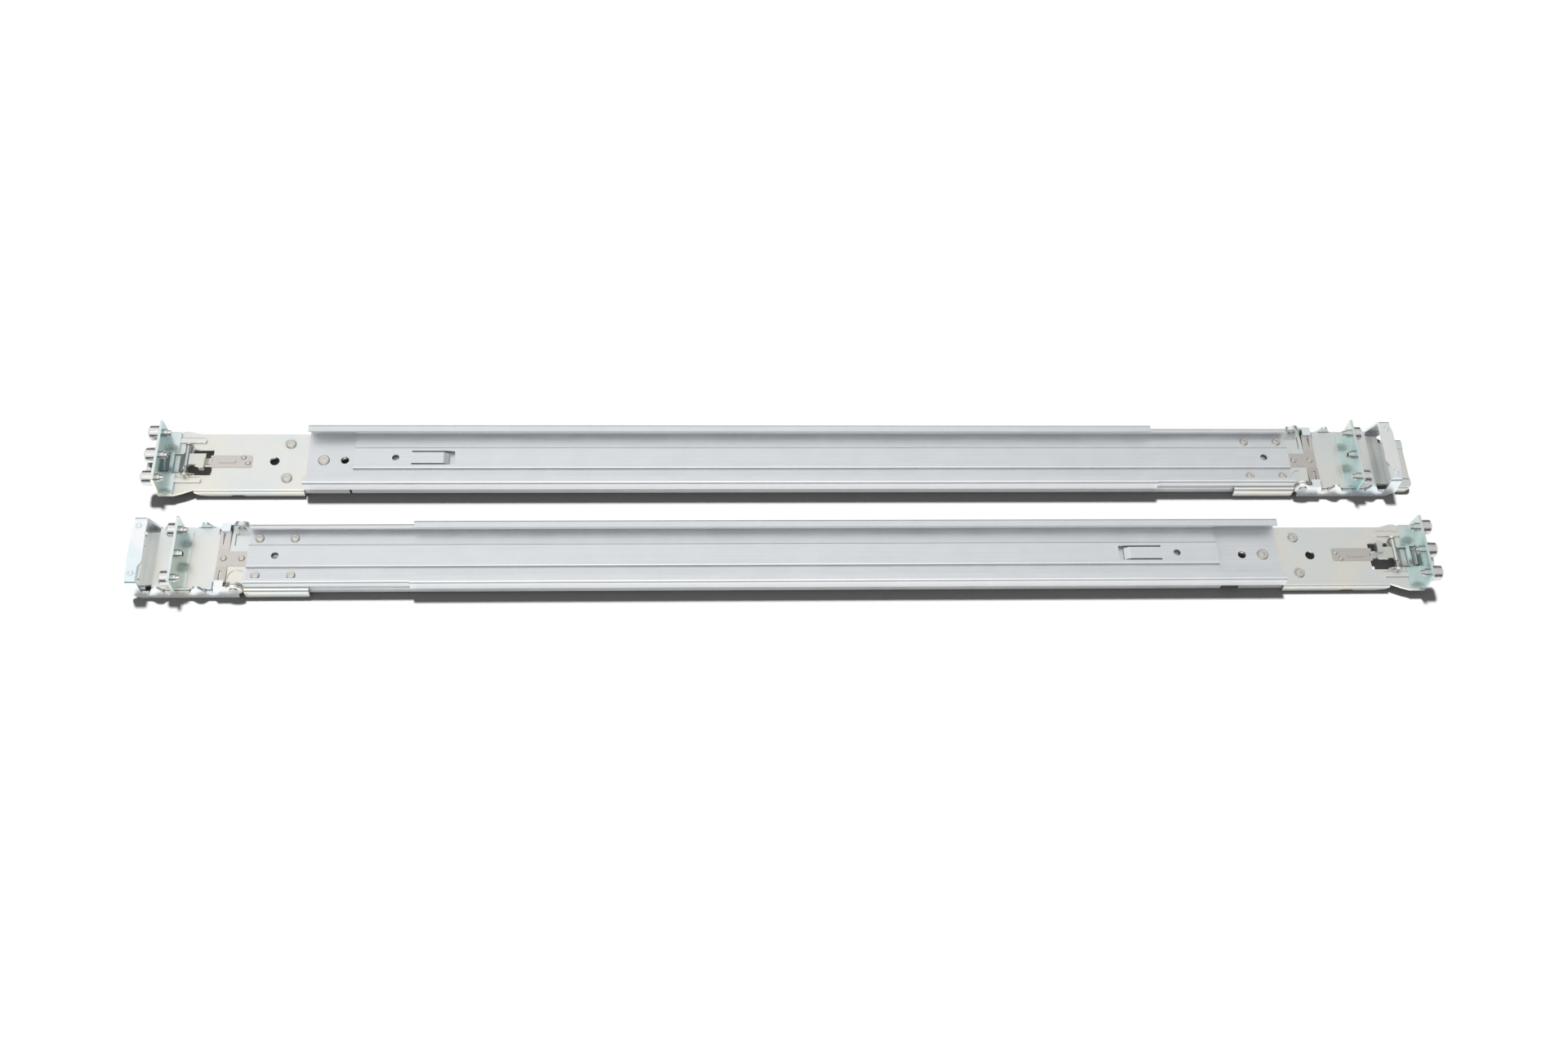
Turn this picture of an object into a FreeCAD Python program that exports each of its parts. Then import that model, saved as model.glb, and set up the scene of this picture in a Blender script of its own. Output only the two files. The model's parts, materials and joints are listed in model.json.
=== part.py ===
"""Sliding server rail pair: two telescopic rails with tool-less rack brackets.

Each rail is drawn in its own frame: u runs towards the front of the rack, v across the
rail and z outwards from the server's side.  The left rail keeps that frame; the right
rail is its mirror image and lies beside it.  All sizes are in millimetres.  Every place
along the rail hangs on its neighbour by how far it lies ahead of it, or behind it, and
so in the end on the two faces that meet the posts.
"""
import FreeCAD
import Part
import math
import os

# ---------------------------------------------------------------- the pair
rail_spacing = 67.8          # centre line of one rail to that of the other
rear_draw_out = 9.8          # how much further the right rail's rear end is drawn out
slide_draw_back = 10.2       # how much further back the right rail's slide rests
front_face_u = 358.9         # surface that meets the front post
rear_face_u = -378.0         # surface that meets the rear post

# ---------------------------------------------------------------- sheet and clearances
slide_sheet = 0.9            # telescopic slide members
channel_sheet = 1.0          # the two nested channels
bracket_sheet = 1.5          # front and rear bracket plates, lever
face_sheet = 1.6             # plates that meet the rack posts
leaf_sheet = 0.5             # leaf springs
cage_sheet = 0.3             # ball cages
strap_sheet = 1.2            # strap under the rear bracket
running_gap = 0.3            # between members that run past each other
channel_gap = 0.25           # between the nested channels, over and under
pivot_clearance = 0.06       # radial, pin in a turning hole
rivet_clearance = 0.02       # radial, rivet shank in its hole
bend = 0.8                   # inside radius of a folded edge
slide_bend = 0.6             # inside radius of a slide member's edge
crease = 0.2                 # inside radius of a pressed edge

# ---------------------------------------------------------------- nested channels
wide_half = 21.3
wide_lip = 5.1
wide_rear_ahead = 87.2       # of the rear face
wide_rear = rear_face_u + wide_rear_ahead
wide_front_behind = 127.3    # of the front face
wide_front = front_face_u - wide_front_behind
narrow_side_gap = 0.3
narrow_depth = 6.0
narrow_lip = 3.4
narrow_rear_ahead = 28.4     # of wide rear
narrow_rear = wide_rear + narrow_rear_ahead
narrow_front_behind = 40.7   # of the front face
narrow_front = front_face_u - narrow_front_behind
plateau_rise = 2.0
plateau_half = 6.7           # of the sheet's underside
plateau_slope = 0.3
lip_gap = 0.7                # under the wide channel's lips
locating_hole_r = 2.2
front_locating_behind = 16.0  # of narrow front
front_locating_u = narrow_front - front_locating_behind
rear_locating_ahead = 25.2   # of narrow rear
rear_locating_u = narrow_rear + rear_locating_ahead
catch_rear_ahead = 34.9      # of narrow rear
catch_rear = narrow_rear + catch_rear_ahead
catch_length = 26.1
catch_half = 4.9
catch_slot = 1.0             # beside the tongue
catch_end_gap = 3.6          # in front of the tongue
catch_bend = 3.2             # length of the tongue's bent end
catch_drop = 1.7

# ---------------------------------------------------------------- telescopic slide
slide_half = 19.5            # half height of the outer member
outer_lip = 3.6
middle_lip = 2.6
outer_ball_d = 2.8
inner_ball_d = 1.8
inner_wall = 3.2             # height of the inner member's walls
middle_set_back = 0.4        # lip of the middle member above the server's side
outer_set_back = 0.4
middle_web_z = 4.1
cage_leg = 0.8
outer_rear_ahead = 27.8      # of wide rear
outer_rear = wide_rear + outer_rear_ahead
outer_front_ahead = 10.6     # of the front face
outer_front = front_face_u + outer_front_ahead
middle_rear_ahead = 6.0      # of outer rear
middle_rear = outer_rear + middle_rear_ahead
inner_rear_ahead = 6.0       # of middle rear
inner_rear = middle_rear + inner_rear_ahead
cap_front_ahead = 36.6       # of the front face
cap_front = front_face_u + cap_front_ahead      # front end of the middle member's stop cap
cap_length = 9.5
inner_front_behind = 13.5    # of cap front
inner_front = cap_front - inner_front_behind
cage_front_behind = 129.5    # of outer front
cage_front = outer_front - cage_front_behind
cage_length = 300.0
balls_per_row = 3
ball_margin = 9.0            # from a cage's end to its last ball
cap_low = -19.3
cap_high = 17.0
cap_rise = 0.8               # of the cap's rims over the middle member's web
cap_low_rim = 6.5            # width of the rim along the lower edge
cap_high_rim = 6.8
cap_round = 4.0
cap_tongue = 11.0
cap_tongue_half = 6.0
keyhole_first_ahead = 61.0   # of inner rear
keyhole_first = inner_rear + keyhole_first_ahead
keyhole_pitch = 250.0
keyhole_count = 3
keyhole_head_r = 4.2
keyhole_neck_r = 2.2
keyhole_run = 9.0

# ---------------------------------------------------------------- front bracket
front_plate_rear_behind = 37.1  # of narrow front
front_plate_rear = narrow_front - front_plate_rear_behind
front_plate_front_ahead = 12.6  # of the front face
front_plate_front = front_face_u + front_plate_front_ahead
front_plate_half = 20.35
front_lip_length = 8.0
front_lip_ramp = 4.5
front_lip_round = 8.0
front_lip_half = 17.6
side_flange_front_ahead = 0.2  # of narrow front
side_flange_front = narrow_front + side_flange_front_ahead
side_flange_out = 22.3       # outer face of the bracket's side flange
side_flange_bottom = 1.0
pivot_ahead = 5.6            # of narrow front
pivot_u = narrow_front + pivot_ahead
pivot_z = 9.2
ear_r = 5.2
notch_rear_ahead = 5.2       # of pivot
notch_rear = pivot_u + notch_rear_ahead
notch_length = 8.0
notch_depth = 4.6
slit_ahead = 3.0             # of pivot
slit_u = pivot_u + slit_ahead
slit_width = 0.8
slit_low = 8.2
slit_high = 16.6
relief_low = 14.9
relief_high = 17.4
relief_length = 7.5
recess_r = 5.2               # round recess beside the pivot
recess_v = -12.9
recess_depth = 0.7
channel_rivets_behind = (26.3, 5.6)  # of narrow front
channel_rivet_us = [narrow_front - behind for behind in channel_rivets_behind]
channel_rivet_v = 12.4
channel_rivet_r = 1.6
channel_rivet_head_r = 2.6
channel_rivet_head = 0.8

# ---------------------------------------------------------------- rack faces and plugs
plug_z = 17.4                # plug row above the server's side
plug_middle_v = -2.1
plug_pitch = 15.875          # hole pitch of the rack posts
face_top = 23.2
front_face_low = -23.1
front_face_high = 20.4
front_foot = 5.5
front_foot_sheet = 0.6
rear_face_low = -23.9
rear_face_high = 20.3
rear_face_taper = 1.2
rear_face_shoulder = 11.0
rear_foot = 7.6
rear_foot_recess = 2.2
rear_foot_recess_low = -9.7
rear_foot_recess_high = 6.9
front_plug_r = 4.4
front_plug_length = 5.8
rear_plug_r = 4.75
rear_plug_length = 7.0
plug_chamfer = 1.2
plug_stem_r = 2.0
boss_r = 2.6
boss_length = 2.2
stub_r = 1.7
stub_length = 2.0
insert_r = 2.9
insert_length = 2.2
insert_neck_r = 2.3
insert_neck = 1.5
insert_thread_r = 1.6

# ---------------------------------------------------------------- front lever
arm_in = 20.6                # inner face of each lever arm
arm_bottom = 0.3
arm_top = 6.4
lever_ear_r = 4.9
lever_foot = 2.0             # from the pivot back to the arm's lower corner
tooth_top = 12.4
near_tooth = [pivot_u + step for step in (16.4, 19.9, 22.5, 25.8)]
far_tooth = [front_face_u + step for step in (5.2, 7.9, 10.7, 14.0)]
jaw_rear_ahead = 16.3        # of the front face
jaw_rear = front_face_u + jaw_rear_ahead
jaw_front_ahead = 8.8        # of jaw rear
jaw_front = jaw_rear + jaw_front_ahead
post_rear_ahead = 1.8        # of jaw rear
post_rear = jaw_rear + post_rear_ahead
post_front_behind = 0.4      # of jaw front
post_front = jaw_front - post_front_behind
gusset_start_behind = 5.6    # of post rear
gusset_start = post_rear - gusset_start_behind
bridge_z = 18.4
jaw_sheet = 1.4
jaw_high = 19.2
jaw_low = -21.3
jaw_shoulder = 12.3
jaw_step_v = -10.6
jaw_step = 2.1
jaw_rivet_vs = (14.9, -16.6)
jaw_rivet_u = (post_rear + post_front) / 2
jaw_rivet_r = 1.9
jaw_rivet_proud = 0.15
tab_rear_ahead = 6.2         # of pivot
tab_rear = pivot_u + tab_rear_ahead
tab_length = 5.2
tab_reach = 4.2
tab_z = 10.0
lever_pin_r = 1.6
lever_pin_head_r = 2.6
lever_pin_head = 0.5
lever_pin_end_r = 2.3
pin_head_gap = 0.1

# ---------------------------------------------------------------- front leaf spring
leaf_bar_low = -5.4
leaf_bar_high = 4.2
leaf_rear_ahead = 0.3        # of narrow front
leaf_rear = narrow_front + leaf_rear_ahead
leaf_cross_rear_behind = 0.4  # of tab rear
leaf_cross_rear = tab_rear - leaf_cross_rear_behind
leaf_cross_front_ahead = 6.0  # of tab rear
leaf_cross_front = tab_rear + leaf_cross_front_ahead
leaf_root = 6.2
leaf_tip = 17.3
leaf_slot = 1.2
leaf_slot_start = 8.7
leaf_slot_end = 16.0
leaf_tip_gap = 0.05
leaf_rivet_us = (leaf_rear + 3.4, leaf_cross_front - 3.6)
leaf_rivet_v = -0.5
leaf_rivet_r = 1.0
leaf_rivet_head_r = 1.9
leaf_rivet_head = 0.5

# ---------------------------------------------------------------- rear bracket
rear_plate_front_ahead = 26.3  # of wide rear
rear_plate_front = wide_rear + rear_plate_front_ahead
rear_plate_high = 19.5
rear_plate_low = -19.7       # bend line of the side flange
rear_tongue_half = 19.2      # where the plate runs under the wide channel
rear_tongue_bottom = 0.9
rear_end_high = 20.3
bulge_top = 21.4
bulge_start_ahead = 20.4     # of the rear face
bulge_start = rear_face_u + bulge_start_ahead
bulge_ramp = 6.8
bulge_length = 3.2
waist_low = -22.5
waist_start_ahead = 21.0     # of the rear face
waist_start = rear_face_u + waist_start_ahead
waist_ramp = 7.1
waist_end_ahead = 9.0        # of the rear face
waist_end = rear_face_u + waist_end_ahead
rear_flange_gap = 0.4        # to the wide channel's end
rear_flange_rear_ahead = 21.0  # of the rear face
rear_flange_rear = rear_face_u + rear_flange_rear_ahead
rear_flange_bottom = 1.0
rear_flange_slope = 8.4
rear_notch_rear_ahead = 41.6  # of the rear face
rear_notch_rear = rear_face_u + rear_notch_rear_ahead
rear_notch_length = 10.1
rear_notch_ramp = 2.4
rear_notch_depth = 1.1
stiffener_depth = 2.2
accessory_hole_behind = 20.0  # of wide rear
accessory_hole_u = wide_rear - accessory_hole_behind
accessory_hole_r = 2.9
rib_length = 15.6
rib_width = 4.1
rib_height = 1.3
rib_round = 0.9
rib_vs = (14.4, -13.7)
window_rear_ahead = 17.6     # of the rear face
window_rear = rear_face_u + window_rear_ahead
window_front_ahead = 30.1    # of the rear face
window_front = rear_face_u + window_front_ahead
window_low = -10.0
window_high = 8.5
nose_slot_low = -8.4
nose_slot_high = 5.2
nose_slot_length = 3.2
nose_slot_top = 10.4
hinge_ahead = 15.1           # of the rear face
hinge_u = rear_face_u + hinge_ahead
hinge_z = 9.6
hinge_ear_r = 2.4
hinge_ear_sheet = 1.2
hinge_ear_vs = (9.5, -12.2)
strap_rear_behind = 16.2     # of wide rear
strap_rear = wide_rear - strap_rear_behind
strap_front_ahead = 18.8     # of wide rear
strap_front = wide_rear + strap_front_ahead
strap_half = 15.5
strap_round = 3.0
clamp_rivet_behind = 11.4    # of wide rear
clamp_rivet_u = wide_rear - clamp_rivet_behind
clamp_rivet_v = 12.2
channel_stud_ahead = 9.8     # of wide rear
channel_stud_u = wide_rear + channel_stud_ahead
clamp_rivet_r = 2.0
clamp_rivet_head_r = 3.1
clamp_rivet_head = 0.6
stud_head_r = 3.5            # of the rivet through the wide channel
dimple_r = 4.0               # shallow dimple round each plate rivet
dimple_depth = 0.3
sight_hole_ahead = 22.5      # of wide rear
sight_hole_u = wide_rear + sight_hole_ahead
sight_hole_r = 2.5

# ---------------------------------------------------------------- rear latch
barrel_r = 1.5
barrel_low = -5.5
barrel_high = 9.2
latch_sheet = 1.2
latch_pin_r = 0.8
latch_pin_over = 0.5
nose_low = -7.4
nose_high = 4.2
nose_dip = 5.4               # underside of the strip where it passes under the foot
nose_run = 7.8               # underside of the nose beyond the face
hook_top = 12.6
nose_near_behind = 4.5       # of hinge
nose_near = hinge_u - nose_near_behind
nose_far_ahead = 4.0         # of the rear face
nose_far = rear_face_u + nose_far_ahead
hook_rear_behind = 8.6       # of the rear face
hook_rear = rear_face_u - hook_rear_behind
hook_front_behind = 3.8      # of the rear face
hook_front = rear_face_u - hook_front_behind
arm_reach = 11.3             # from the hinge to the arm's front end
arm_low = -4.0
arm_high = 3.6
block_length = 3.6
block_low = -7.4
block_high = 0.4
block_bottom = 8.5
block_top = 12.0
tongue_end_gap = 0.7         # to the window's front edge
tongue_half = 2.0
tongue_gap = 0.35
coil_wire = 0.8
coil_turns = 4
coil_start = -7.7
coil_leg = 6.0

# ---------------------------------------------------------------- rear leaf spring
rear_leaf_free_behind = 1.4  # of window front
rear_leaf_free = window_front - rear_leaf_free_behind
rear_leaf_length = 24.9
rear_leaf_low = -4.5
rear_leaf_high = 3.9
rear_leaf_round = 1.0
rear_leaf_end = rear_leaf_free + rear_leaf_length
rear_leaf_rivets = ((rear_leaf_end - 5.2, 2.5), (rear_leaf_end - 2.2, -1.6))
rear_leaf_rivet_r = 0.9
rear_leaf_rivet_head_r = 1.6
rear_leaf_hole_ahead = 1.6   # of rear leaf free
rear_leaf_hole_u = rear_leaf_free + rear_leaf_hole_ahead
rear_leaf_hole_r = 0.7
rear_leaf_rib = (rear_leaf_free + 4.3, rear_leaf_end - 9.4)
rear_leaf_rib_half = 1.5
rear_leaf_rib_height = 0.4

# ---------------------------------------------------------------- worked-out levels
middle_top = middle_web_z + slide_sheet
outer_web_z = middle_top + 2 * running_gap + cage_sheet
slide_top = outer_web_z + slide_sheet
front_plate_top = slide_top + bracket_sheet
wide_z = slide_top + channel_gap
wide_web_top = wide_z + channel_sheet
narrow_z = front_plate_top
narrow_web_top = narrow_z + channel_sheet
narrow_top = narrow_z + narrow_depth
wide_top = narrow_top + lip_gap + channel_sheet
narrow_half = wide_half - channel_sheet - narrow_side_gap
plateau_top = narrow_web_top + plateau_rise
rear_plate_top = wide_z
rear_plate_z = rear_plate_top - bracket_sheet
rear_foot_top = rear_plate_top + face_sheet
rear_foot_edge = rear_face_u + face_sheet + rear_foot
strap_z = rear_plate_z - strap_sheet
front_foot_top = front_plate_top + front_foot_sheet
bridge_top = bridge_z + bracket_sheet
arm_out = arm_in + bracket_sheet

# races of the telescopic slide, from the outside in
outer_ball_v = slide_half - slide_sheet - running_gap - outer_ball_d / 2
middle_half = outer_ball_v - outer_ball_d / 2 - running_gap
inner_ball_v = middle_half - slide_sheet - running_gap - inner_ball_d / 2
inner_half = inner_ball_v - inner_ball_d / 2 - running_gap
outer_cage_z = middle_top + running_gap
inner_cage_z = middle_web_z - running_gap - cage_sheet
outer_lip_top = outer_set_back + slide_sheet
middle_lip_top = middle_set_back + slide_sheet
outer_ball_z = (outer_lip_top + outer_cage_z) / 2
inner_ball_z = (middle_lip_top + inner_cage_z) / 2
cap_rear = cap_front - cap_length
cap_top = middle_top + cap_rise
cage_rear = cage_front - cage_length
keyhole_stations = [keyhole_first + i * keyhole_pitch for i in range(keyhole_count)]

plug_vs = (plug_middle_v + plug_pitch, plug_middle_v - plug_pitch)
rear_plug_vs = (plug_middle_v + plug_pitch, plug_middle_v, plug_middle_v - plug_pitch)

# the pair lies centred over its own box
front_end = max(cap_front, rear_draw_out - hook_rear)
rear_end = min(hook_rear, -jaw_front)
centre_shift = -(front_end + rear_end) / 2
side_out = max(arm_out + pin_head_gap + lever_pin_head, -rear_face_low)
side_in = arm_out + pin_head_gap + lever_pin_head
across_shift = (side_out - side_in) / 2


# ---------------------------------------------------------------- drawing helpers
def spot(a, b, plane):
    """Point (a, b) of a flat drawing, stood up in the plane xy, xz or yz."""
    if plane == "xy":
        return FreeCAD.Vector(a, b, 0)
    if plane == "xz":
        return FreeCAD.Vector(a, 0, b)
    return FreeCAD.Vector(0, a, b)


def face_of(corners, plane):
    """Flat face with corners (a, b) or (a, b, radius); a radius rounds that corner."""
    count = len(corners)
    ends = []
    for i in range(count):
        here = spot(corners[i][0], corners[i][1], plane)
        radius = corners[i][2] if len(corners[i]) > 2 else 0
        if radius <= 0:
            ends.append((here, None, here))
            continue
        back = spot(corners[i - 1][0], corners[i - 1][1], plane) - here
        ahead = spot(corners[(i + 1) % count][0], corners[(i + 1) % count][1], plane) - here
        back.normalize()
        ahead.normalize()
        half = back.getAngle(ahead) / 2
        along = radius / math.tan(half)
        middle = back + ahead
        middle.normalize()
        crown = here + middle * (radius / math.sin(half) - radius)
        ends.append((here + back * along, crown, here + ahead * along))
    edges = []
    for i in range(count):
        start, crown, finish = ends[i]
        if crown is not None:
            edges.append(Part.Arc(start, crown, finish).toShape())
        following = ends[(i + 1) % count][0]
        if finish.distanceToPoint(following) > 1e-6:
            edges.append(Part.LineSegment(finish, following).toShape())
    return Part.Face(Part.Wire(edges))


def flat(corners, z0, z1):
    """Plate with its outline in u and v, from z0 to z1."""
    body = face_of(corners, "xy").extrude(FreeCAD.Vector(0, 0, z1 - z0))
    body.translate(FreeCAD.Vector(0, 0, z0))
    return body


def upright(corners, v0, v1):
    """Plate with its outline in u and z, from v0 to v1 across the rail."""
    body = face_of(corners, "xz").extrude(FreeCAD.Vector(0, v1 - v0, 0))
    body.translate(FreeCAD.Vector(0, v0, 0))
    return body


def along(corners, u0, u1):
    """Section in v and z, drawn out along the rail from u0 to u1."""
    body = face_of(corners, "yz").extrude(FreeCAD.Vector(u1 - u0, 0, 0))
    body.translate(FreeCAD.Vector(u0, 0, 0))
    return body


def block(u0, u1, v0, v1, z0, z1):
    return Part.makeBox(u1 - u0, v1 - v0, z1 - z0, FreeCAD.Vector(u0, v0, z0))


def post(u, v, z0, z1, radius):
    return Part.makeCylinder(radius, z1 - z0, FreeCAD.Vector(u, v, z0))


def cross_pin(u, z, v0, v1, radius):
    return Part.makeCylinder(radius, v1 - v0, FreeCAD.Vector(u, v0, z), FreeCAD.Vector(0, 1, 0))


def long_pin(v, z, u0, u1, radius):
    return Part.makeCylinder(radius, u1 - u0, FreeCAD.Vector(u0, v, z), FreeCAD.Vector(1, 0, 0))


def turned(profile, base, axis):
    """Turned piece; profile holds (step along the axis, radius) pairs from its base."""
    face = face_of(profile, "xz")
    body = face.revolve(FreeCAD.Vector(0, 0, 0), FreeCAD.Vector(1, 0, 0), 360)
    body.Placement = FreeCAD.Placement(FreeCAD.Vector(*base),
                                       FreeCAD.Rotation(FreeCAD.Vector(1, 0, 0),
                                                        FreeCAD.Vector(*axis)))
    return body


def slot_cut(u0, u1, v0, v1, z0, z1):
    """Slot with round ends, its length along u."""
    radius = (v1 - v0) / 2 * 0.999
    corners = [(u0, v0, radius), (u1, v0, radius), (u1, v1, radius), (u0, v1, radius)]
    return flat(corners, z0, z1)


def join(first, *others):
    return first.fuse(list(others)).removeSplitter()


def folded(path, sheet, inside):
    """Outline of a folded sheet; path is its outer face, the sheet lies to the right.

    A third value in a point of the path is the inside radius of that fold.
    """
    count = len(path)
    headings = []
    for i in range(count - 1):
        du = path[i + 1][0] - path[i][0]
        dv = path[i + 1][1] - path[i][1]
        length = math.hypot(du, dv)
        headings.append((du / length, dv / length))
    outer = [(path[0][0], path[0][1], 0)]
    inner = [(path[0][0] + headings[0][1] * sheet, path[0][1] - headings[0][0] * sheet, 0)]
    for i in range(1, count - 1):
        before, after = headings[i - 1], headings[i]
        turn = before[0] * after[1] - before[1] * after[0]
        share = sheet / (1 + before[0] * after[0] + before[1] * after[1])
        du = (before[1] + after[1]) * share
        dv = -(before[0] + after[0]) * share
        tight = path[i][2] if len(path[i]) > 2 else inside
        outside, opposite = (tight + sheet, tight) if turn < 0 else (tight, tight + sheet)
        outer.append((path[i][0], path[i][1], outside))
        inner.append((path[i][0] + du, path[i][1] + dv, opposite))
    outer.append((path[-1][0], path[-1][1], 0))
    last = headings[-1]
    inner.append((path[-1][0] + last[1] * sheet, path[-1][1] - last[0] * sheet, 0))
    return outer + inner[::-1]


# ---------------------------------------------------------------- telescopic slide
def hollow_member(half, lip, set_back, top, u0, u1):
    """Slide member that opens towards the server, with lips under its races."""
    path = [(-half + lip, set_back), (-half, set_back), (-half, top)]
    path += [(half, top), (half, set_back), (half - lip, set_back)]
    return along(folded(path, slide_sheet, slide_bend), u0, u1)


def outer_member():
    body = hollow_member(slide_half, outer_lip, outer_set_back, slide_top, outer_rear, outer_front)
    holes = [post(u, v, 0, slide_top + 1, channel_rivet_r + rivet_clearance)
             for u in channel_rivet_us for v in (channel_rivet_v, -channel_rivet_v)]
    holes += [post(u, leaf_rivet_v, 0, slide_top + 1, leaf_rivet_r + rivet_clearance)
              for u in leaf_rivet_us]
    return body.cut(holes)


def middle_member():
    return hollow_member(middle_half, middle_lip, middle_set_back, middle_top,
                         middle_rear, cap_rear)


def keyhole(u):
    """Keyhole that drops over a shoulder screw on the server's side."""
    head = post(u, 0, -1, slide_sheet + 1, keyhole_head_r)
    neck = slot_cut(u - keyhole_run, u, -keyhole_neck_r, keyhole_neck_r, -1, slide_sheet + 1)
    return [head, neck]


def inner_member():
    path = [(inner_half, inner_wall), (inner_half, 0), (-inner_half, 0), (-inner_half, inner_wall)]
    body = along(folded(path, slide_sheet, slide_bend), inner_rear, inner_front)
    cuts = []
    for u in keyhole_stations:
        cuts += keyhole(u)
    return body.cut(cuts)


def stop_cap():
    """Cap on the middle member's front end, with a raised rim along each edge."""
    doorway = inner_half + 2 * running_gap
    low_rim = cap_low + cap_low_rim
    high_rim = cap_high - cap_high_rim
    section = [(cap_low, middle_set_back), (-doorway, middle_set_back),
               (-doorway, middle_web_z), (doorway, middle_web_z),
               (doorway, middle_set_back), (cap_high, middle_set_back),
               (cap_high, cap_top, 1.5), (high_rim, cap_top, 0.8),
               (high_rim - cap_rise, middle_top, 0.8), (low_rim + cap_rise, middle_top, 0.8),
               (low_rim, cap_top, 0.8), (cap_low, cap_top, 1.5)]
    body = along(section, cap_rear, cap_front)
    outline = [(cap_rear, cap_low), (cap_front, cap_low, cap_round),
               (cap_front, cap_high, cap_round / 2), (cap_rear, cap_high)]
    body = body.common(flat(outline, 0, cap_top))
    tongue = block(cap_rear - cap_tongue, cap_rear, -cap_tongue_half, cap_tongue_half,
                   middle_web_z - slide_sheet, middle_web_z)
    root = block(cap_rear, cap_rear + slide_sheet, -cap_tongue_half, cap_tongue_half,
                 middle_web_z - slide_sheet, middle_web_z)
    return join(body, tongue, root)


def ball_stations():
    first = cage_rear + ball_margin
    step = (cage_front - cage_rear - 2 * ball_margin) / (balls_per_row - 1)
    return [first + i * step for i in range(balls_per_row)]


def ball_cage(ball_v, ball_z, ball_d, web_z, leg_bottom):
    """Folded strip that carries both ball rows between two members."""
    out = ball_v + cage_leg / 2
    inn = ball_v - cage_leg / 2
    top = web_z + cage_sheet
    outline = [(-out, leg_bottom), (-inn, leg_bottom), (-inn, web_z), (inn, web_z),
               (inn, leg_bottom), (out, leg_bottom), (out, top), (-out, top)]
    body = along(outline, cage_rear, cage_front)
    hole_r = ball_d / 2 + rivet_clearance
    holes = [cross_pin(u, ball_z, side * ball_v - cage_leg, side * ball_v + cage_leg, hole_r)
             for u in ball_stations() for side in (1, -1)]
    return body.cut(holes)


def ball_rows(ball_v, ball_z, ball_d):
    balls = [Part.makeSphere(ball_d / 2, FreeCAD.Vector(u, side * ball_v, ball_z))
             for u in ball_stations() for side in (1, -1)]
    return Part.makeCompound(balls)


# ---------------------------------------------------------------- nested channels
def rear_channel():
    path = [(wide_half - wide_lip, wide_top), (wide_half, wide_top), (wide_half, wide_z)]
    path += [(-wide_half, wide_z), (-wide_half, wide_top), (-wide_half + wide_lip, wide_top)]
    body = along(folded(path, channel_sheet, bend), wide_rear, wide_front)
    stud = post(channel_stud_u, 0, 0, wide_top, clamp_rivet_r + rivet_clearance)
    sight = post(sight_hole_u, 0, 0, wide_top, sight_hole_r)
    return body.cut([stud, sight])


def front_channel():
    """Narrow channel with a raised middle; it slides inside the wide one."""
    step = plateau_half + plateau_slope
    crest = narrow_z + plateau_rise
    path = [(narrow_half - narrow_lip, narrow_top), (narrow_half, narrow_top)]
    path += [(narrow_half, narrow_z), (step, narrow_z, crease), (plateau_half, crest, crease)]
    path += [(-plateau_half, crest, crease), (-step, narrow_z, crease)]
    path += [(-narrow_half, narrow_z)]
    path += [(-narrow_half, narrow_top), (-narrow_half + narrow_lip, narrow_top)]
    body = along(folded(path, channel_sheet, bend), narrow_rear, narrow_front)
    cuts = [post(u, 0, 0, wide_top, locating_hole_r) for u in (front_locating_u, rear_locating_u)]
    cuts += [post(u, v, 0, wide_top, channel_rivet_r + rivet_clearance)
             for u in channel_rivet_us for v in (channel_rivet_v, -channel_rivet_v)]
    catch_front = catch_rear + catch_length
    window = flat([(catch_rear, -catch_half), (catch_front, -catch_half, 1.0),
                   (catch_front, catch_half, 1.0), (catch_rear, catch_half)],
                  plateau_top - channel_sheet - 1, plateau_top + 1)
    return join(body.cut(cuts + [window]), catch_tab())


def catch_tab():
    """Springy tongue in the raised middle, its free end bent down."""
    top = plateau_top
    side = catch_half - catch_slot
    foot = top - catch_drop
    end = catch_rear + catch_length - catch_end_gap
    start = end - catch_bend
    outline = [(catch_rear, top - channel_sheet), (start, top - channel_sheet, 1.0),
               (end, foot - channel_sheet), (end, foot), (start, top, 1.5), (catch_rear, top)]
    return upright(outline, -side, side)


# ---------------------------------------------------------------- front bracket
def front_plate():
    half = front_plate_half
    body = flat([(front_plate_rear, -half), (front_plate_front, -half, 1.0),
                 (front_plate_front, half, 1.0), (front_plate_rear, half, 2.0)],
                slide_top, front_plate_top)
    cuts = [block(notch_rear, notch_rear + notch_length, side * half - notch_depth,
                  side * half + notch_depth, slide_top - 1, front_plate_top + 1)
            for side in (1, -1)]
    cuts.append(block(slit_u - slit_width / 2, slit_u + slit_width / 2, slit_low, slit_high,
                      slide_top - 1, front_plate_top + 1))
    cuts.append(block(narrow_front + channel_gap, narrow_front + channel_gap + relief_length,
                      relief_low, relief_high, slide_top - 1, front_plate_top + 1))
    cuts.append(pivot_recess())
    return body.cut(cuts)


def front_lip():
    """Front edge of the plate, led down to just above the stop cap."""
    low = cap_top + running_gap
    ramp = front_plate_front + front_lip_ramp
    end = front_plate_front + front_lip_length
    outline = [(front_plate_front, slide_top), (front_plate_front, front_plate_top),
               (ramp, low + bracket_sheet, front_lip_round), (end, low + bracket_sheet, 0.4),
               (end, low), (ramp, low, front_lip_round)]
    return upright(outline, -front_lip_half, front_lip_half)


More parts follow.
